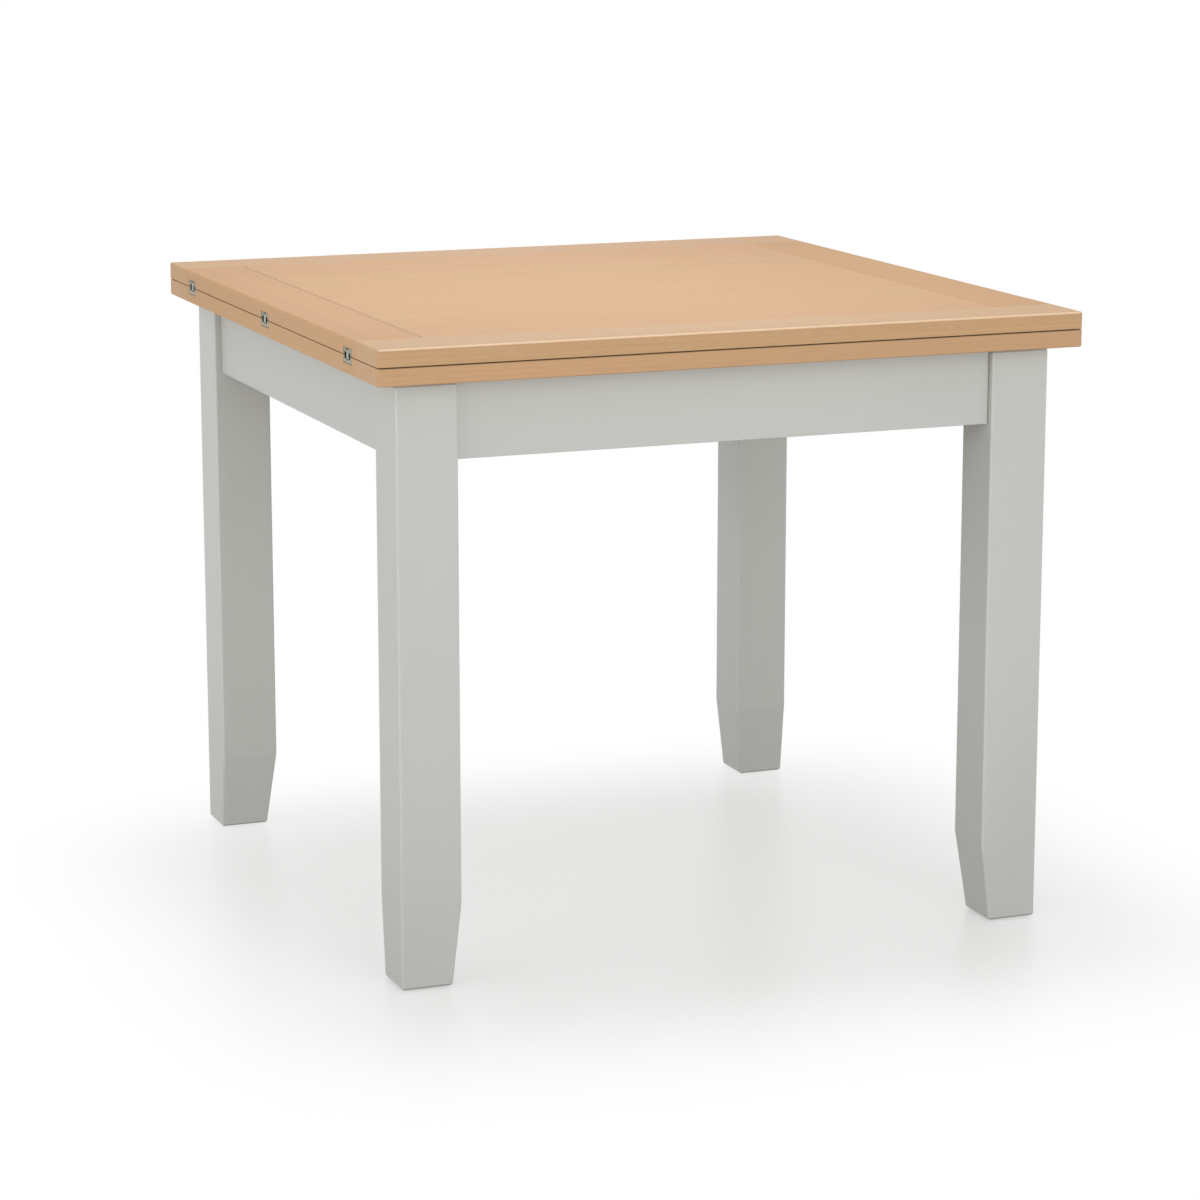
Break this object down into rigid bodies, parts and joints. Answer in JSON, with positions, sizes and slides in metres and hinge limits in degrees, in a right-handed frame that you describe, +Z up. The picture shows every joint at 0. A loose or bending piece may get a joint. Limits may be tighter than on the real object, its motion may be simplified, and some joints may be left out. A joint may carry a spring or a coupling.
{
  "type": "flip-top extending table",
  "caption": "Square dining table whose folded top slides along the frame and flips open on link hinges to twice its length.",
  "frame": {"origin": "on the floor under the middle of the closed top", "axes": "+X along the way that the top slides, away from the hinges; +Y towards the back; +Z up"},
  "size_m": [0.9, 0.9, 0.77],
  "materials": {
    "painted_leg": "satin grey paint on hardwood",
    "painted_apron": "satin grey paint on hardwood",
    "oak_panel": "satin lacquered oak veneer",
    "oak_border": "satin lacquered oak",
    "runner_wood": "waxed hardwood",
    "block_wood": "planed hardwood",
    "dowel_wood": "fluted hardwood",
    "felt": "pressed felt",
    "glide_nylon": "moulded nylon",
    "hinge_steel": "nickel plated",
    "pin_steel": "ground steel",
    "screw_steel": "nickel plated",
    "bolt_steel": "zinc plated"
  },
  "bodies": {
    "frame": {"apron_back": "painted_apron", "apron_dowels": "dowel_wood", "apron_front": "painted_apron", "apron_left": "painted_apron", "apron_right": "painted_apron", "bolt_nuts": "bolt_steel", "bolt_washers": "bolt_steel", "corner_block_back_left": "block_wood", "corner_block_back_right": "block_wood", "corner_block_front_left": "block_wood", "corner_block_front_right": "block_wood", "corner_block_screws": "screw_steel", "cross_rail": "runner_wood", "foot_glides": "glide_nylon", "guide_rail_back": "runner_wood", "guide_rail_front": "runner_wood", "hanger_bolts": "bolt_steel", "leg_back_left": "painted_leg", "leg_back_right": "painted_leg", "leg_front_left": "painted_leg", "leg_front_right": "painted_leg", "slide_pads": "felt"},
    "lower_leaf": {"hinge_edge_screws_lower": "screw_steel", "hinge_face_screws_lower": "screw_steel", "hinge_leaf_lower_back": "hinge_steel", "hinge_leaf_lower_front": "hinge_steel", "hinge_leaf_lower_middle": "hinge_steel", "hinge_pins_lower": "pin_steel", "leaf_buffers": "felt", "lower_leaf_back_rail": "oak_border", "lower_leaf_end_stile": "oak_border", "lower_leaf_front_rail": "oak_border", "lower_leaf_hinge_stile": "oak_border", "lower_leaf_panel": "oak_panel", "runner_back": "runner_wood", "runner_front": "runner_wood", "runner_screws": "screw_steel"},
    "upper_leaf": {"hinge_edge_screws_upper": "screw_steel", "hinge_face_screws_upper": "screw_steel", "hinge_leaf_upper_back": "hinge_steel", "hinge_leaf_upper_front": "hinge_steel", "hinge_leaf_upper_middle": "hinge_steel", "hinge_pins_upper": "pin_steel", "upper_leaf_back_rail": "oak_border", "upper_leaf_end_stile": "oak_border", "upper_leaf_front_rail": "oak_border", "upper_leaf_hinge_stile": "oak_border", "upper_leaf_panel": "oak_panel"},
    "hinge_links": {"hinge_link_back": "hinge_steel", "hinge_link_front": "hinge_steel", "hinge_link_middle": "hinge_steel"}
  },
  "joints": [
    {"name": "top_slide", "type": "slide", "parent": "frame", "child": "lower_leaf", "axis": [1, 0, 0], "range_m": [0, 0.4505]},
    {"name": "leaf_flip", "type": "hinge", "parent": "lower_leaf", "child": "upper_leaf", "pos_m": [-0.4505, 0, 0.7485], "axis": [0, -1, 0], "range_deg": [0, 180]},
    {"name": "link_swing", "type": "hinge", "parent": "lower_leaf", "child": "hinge_links", "pos_m": [-0.4475, 0, 0.7455], "axis": [0, -1, 0], "range_deg": [0, 90]}
  ],
  "couplings": [
    {"joint": "link_swing", "follows": "leaf_flip", "ratio": 0.5}
  ]
}
